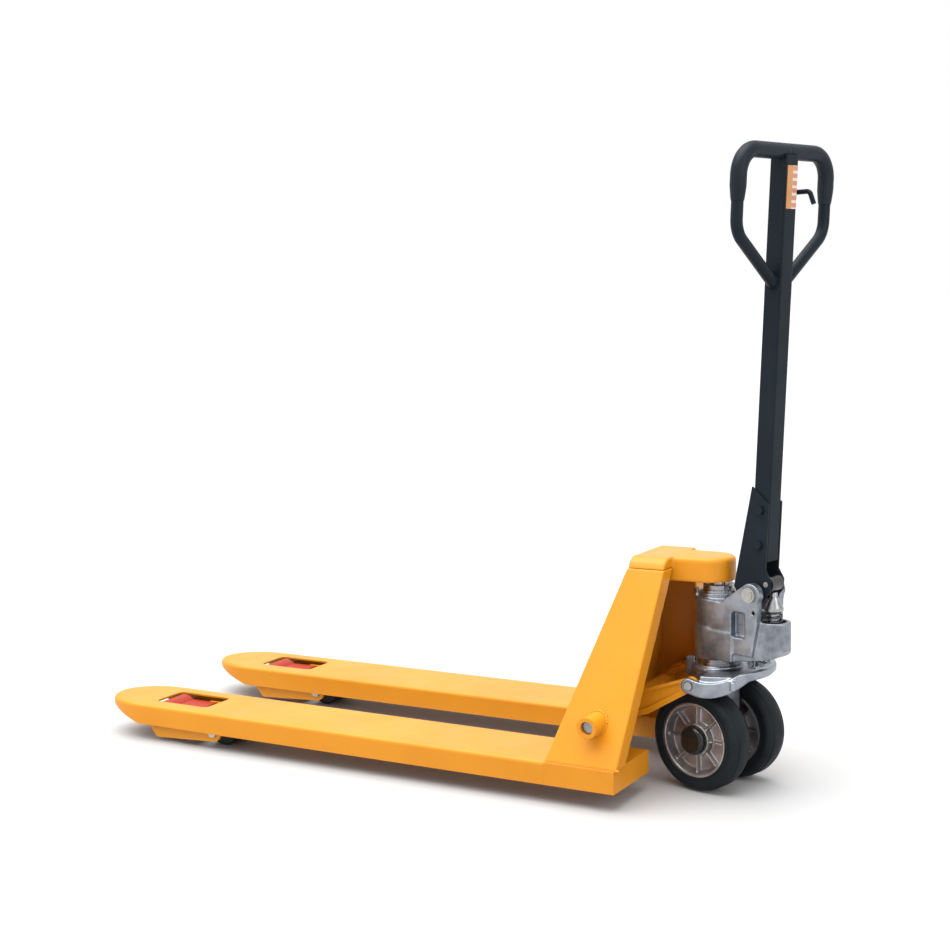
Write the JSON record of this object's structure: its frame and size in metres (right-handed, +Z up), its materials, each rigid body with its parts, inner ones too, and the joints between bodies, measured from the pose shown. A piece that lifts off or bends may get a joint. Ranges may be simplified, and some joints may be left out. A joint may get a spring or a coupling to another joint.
{
  "type": "pallet jack",
  "caption": "Hand pallet truck with twin forks, A-frame chassis, steered hydraulic pump unit on rubber wheels, pumping handle with loop grip and linked load rollers.",
  "frame": {"origin": "on the floor under the middle of the whole truck", "axes": "+X runs from the fork tips to the operator, +Z is up, Y is across the forks"},
  "size_m": [1.5566, 0.55, 1.2147],
  "materials": {
    "yellow": "semi-gloss powder coat",
    "casting": "silver painted casting",
    "black_paint": "semi-gloss black powder coat",
    "grip": "soft grip moulding",
    "zinc": "zinc plated",
    "steel": "machined",
    "chrome": "hard chrome ram",
    "rim": "raw casting",
    "tyre": "solid rubber",
    "roller": "black nylon",
    "cap": "black cap",
    "guard": "red primer",
    "label": "blank label plate"
  },
  "bodies": {
    "bearing": {"bearing_yoke": "casting", "yoke_pins": "steel"},
    "pump": {"pump_housing": "casting", "pump_collar": "steel", "thrust_bearing": "steel", "filler_plug": "zinc", "wheel_axle": "steel", "axle_clips": "zinc", "handle_pivot_pin": "zinc", "plunger_spring": "steel"},
    "wheel_left": {"tyre_left": "tyre", "rim_left": "rim", "wheel_bearings_left": "steel", "hub_cap_left": "cap"},
    "wheel_right": {"tyre_right": "tyre", "rim_right": "rim", "wheel_bearings_right": "steel", "hub_cap_right": "cap"},
    "ram": {"lift_ram": "chrome"},
    "plunger": {"pump_plunger": "steel"},
    "release": {"release_lever": "casting"},
    "handle": {"handle_fork": "black_paint", "handle_tube": "black_paint", "handle_loop": "black_paint", "grip_left": "grip", "grip_right": "grip", "label_plate": "label", "roller_pin": "zinc", "handle_bolts": "black_paint", "control_rod": "zinc"},
    "press_roller": {"pressure_roller": "steel"},
    "control": {"control_lever": "black_paint"},
    "rocker": {"rocker": "yellow", "rod_pins": "steel"},
    "chassis": {"fork_left": "yellow", "fork_right": "yellow", "heel_left": "yellow", "heel_right": "yellow", "leg_left": "yellow", "leg_right": "yellow", "back_panel": "yellow", "head_bracket": "yellow", "shaft_bosses": "yellow", "cross_shaft": "steel", "front_shafts": "steel"},
    "rod_left": {"push_rod_left": "yellow"},
    "frame_left": {"wheel_frame_left": "yellow", "load_axle_left": "zinc", "roller_guard_left": "guard"},
    "load_roller_left": {"load_roller_left": "roller"},
    "entry_roller_left": {"entry_roller_left": "roller"},
    "rod_right": {"push_rod_right": "yellow"},
    "frame_right": {"wheel_frame_right": "yellow", "load_axle_right": "zinc", "roller_guard_right": "guard"},
    "load_roller_right": {"load_roller_right": "roller"},
    "entry_roller_right": {"entry_roller_right": "roller"}
  },
  "joints": [
    {"name": "lift", "type": "hinge", "parent": "bearing", "child": "rocker", "pos_m": [0.56295, 0, 0.2135], "axis": [0, 1, 0], "range_deg": [0, 46.05]},
    {"name": "chassis_level", "type": "hinge", "parent": "rocker", "child": "chassis", "pos_m": [0.42766, 0, 0.156], "axis": [0, 1, 0], "range_deg": [-46.1, 0.05]},
    {"name": "steer", "type": "hinge", "parent": "bearing", "child": "pump", "pos_m": [0.58166, 0, 0], "axis": [0, 0, 1], "range_deg": [-75, 105]},
    {"name": "wheel_spin_left", "type": "hinge", "parent": "pump", "child": "wheel_left", "pos_m": [0.56691, -0.05506, 0.1], "axis": [0.2588, 0.9659, 0], "continuous": true},
    {"name": "wheel_spin_right", "type": "hinge", "parent": "pump", "child": "wheel_right", "pos_m": [0.59641, 0.05506, 0.1], "axis": [0.2588, 0.9659, 0], "continuous": true},
    {"name": "ram_lift", "type": "slide", "parent": "pump", "child": "ram", "axis": [0, 0, 1], "range_m": [-0.0002, 0.1153]},
    {"name": "handle_pump", "type": "hinge", "parent": "pump", "child": "handle", "pos_m": [0.67922, -0.02614, 0.388], "axis": [0.2588, 0.9659, 0], "range_deg": [0, 70], "stiffness_Nm_per_rad": 60, "springref_deg": -5.73},
    {"name": "press_roller_spin", "type": "hinge", "parent": "handle", "child": "press_roller", "pos_m": [0.69989, -0.03168, 0.4066], "axis": [0.2588, 0.9659, 0], "continuous": true},
    {"name": "plunger_stroke", "type": "slide", "parent": "pump", "child": "plunger", "axis": [0, 0, -1], "range_m": [-0.0002, 0.0327], "deforming": ["plunger_spring"]},
    {"name": "control", "type": "hinge", "parent": "handle", "child": "control", "pos_m": [0.72036, -0.03717, 1.12677], "axis": [0.2588, 0.9659, 0], "range_deg": [-15, 15], "stiffness_Nm_per_rad": 0.6},
    {"name": "release", "type": "hinge", "parent": "pump", "child": "release", "pos_m": [0.6628, -0.02174, 0.2495], "axis": [0.2588, 0.9659, 0], "range_deg": [-7.6, 7.6]},
    {"name": "rod_level_left", "type": "hinge", "parent": "rocker", "child": "rod_left", "pos_m": [0.43861, -0.19, 0.13023], "axis": [0, 1, 0], "range_deg": [-46.1, 0.05]},
    {"name": "frame_swing_left", "type": "hinge", "parent": "chassis", "child": "frame_left", "pos_m": [-0.62534, -0.19, 0.043], "axis": [0, 1, 0], "range_deg": [-0.05, 46.1]},
    {"name": "load_roller_spin_left", "type": "hinge", "parent": "frame_left", "child": "load_roller_left", "pos_m": [-0.46307, -0.19, 0.037], "axis": [0, 1, 0], "continuous": true},
    {"name": "entry_roller_spin_left", "type": "hinge", "parent": "chassis", "child": "entry_roller_left", "pos_m": [-0.62534, -0.19, 0.043], "axis": [0, 1, 0], "continuous": true},
    {"name": "rod_level_right", "type": "hinge", "parent": "rocker", "child": "rod_right", "pos_m": [0.43861, 0.19, 0.13023], "axis": [0, 1, 0], "range_deg": [-46.1, 0.05]},
    {"name": "frame_swing_right", "type": "hinge", "parent": "chassis", "child": "frame_right", "pos_m": [-0.62534, 0.19, 0.043], "axis": [0, 1, 0], "range_deg": [-0.05, 46.1]},
    {"name": "load_roller_spin_right", "type": "hinge", "parent": "frame_right", "child": "load_roller_right", "pos_m": [-0.46307, 0.19, 0.037], "axis": [0, 1, 0], "continuous": true},
    {"name": "entry_roller_spin_right", "type": "hinge", "parent": "chassis", "child": "entry_roller_right", "pos_m": [-0.62534, 0.19, 0.043], "axis": [0, 1, 0], "continuous": true}
  ],
  "couplings": [
    {"joint": "chassis_level", "follows": "lift", "ratio": -1},
    {"joint": "ram_lift", "follows": "lift", "m_per_rad": 0.14308},
    {"joint": "plunger_stroke", "follows": "handle_pump", "m_per_rad": 0.026481},
    {"joint": "release", "follows": "control", "ratio": 0.5},
    {"joint": "rod_level_left", "follows": "lift", "ratio": -1},
    {"joint": "frame_swing_left", "follows": "lift", "ratio": 1},
    {"joint": "rod_level_right", "follows": "lift", "ratio": -1},
    {"joint": "frame_swing_right", "follows": "lift", "ratio": 1}
  ]
}
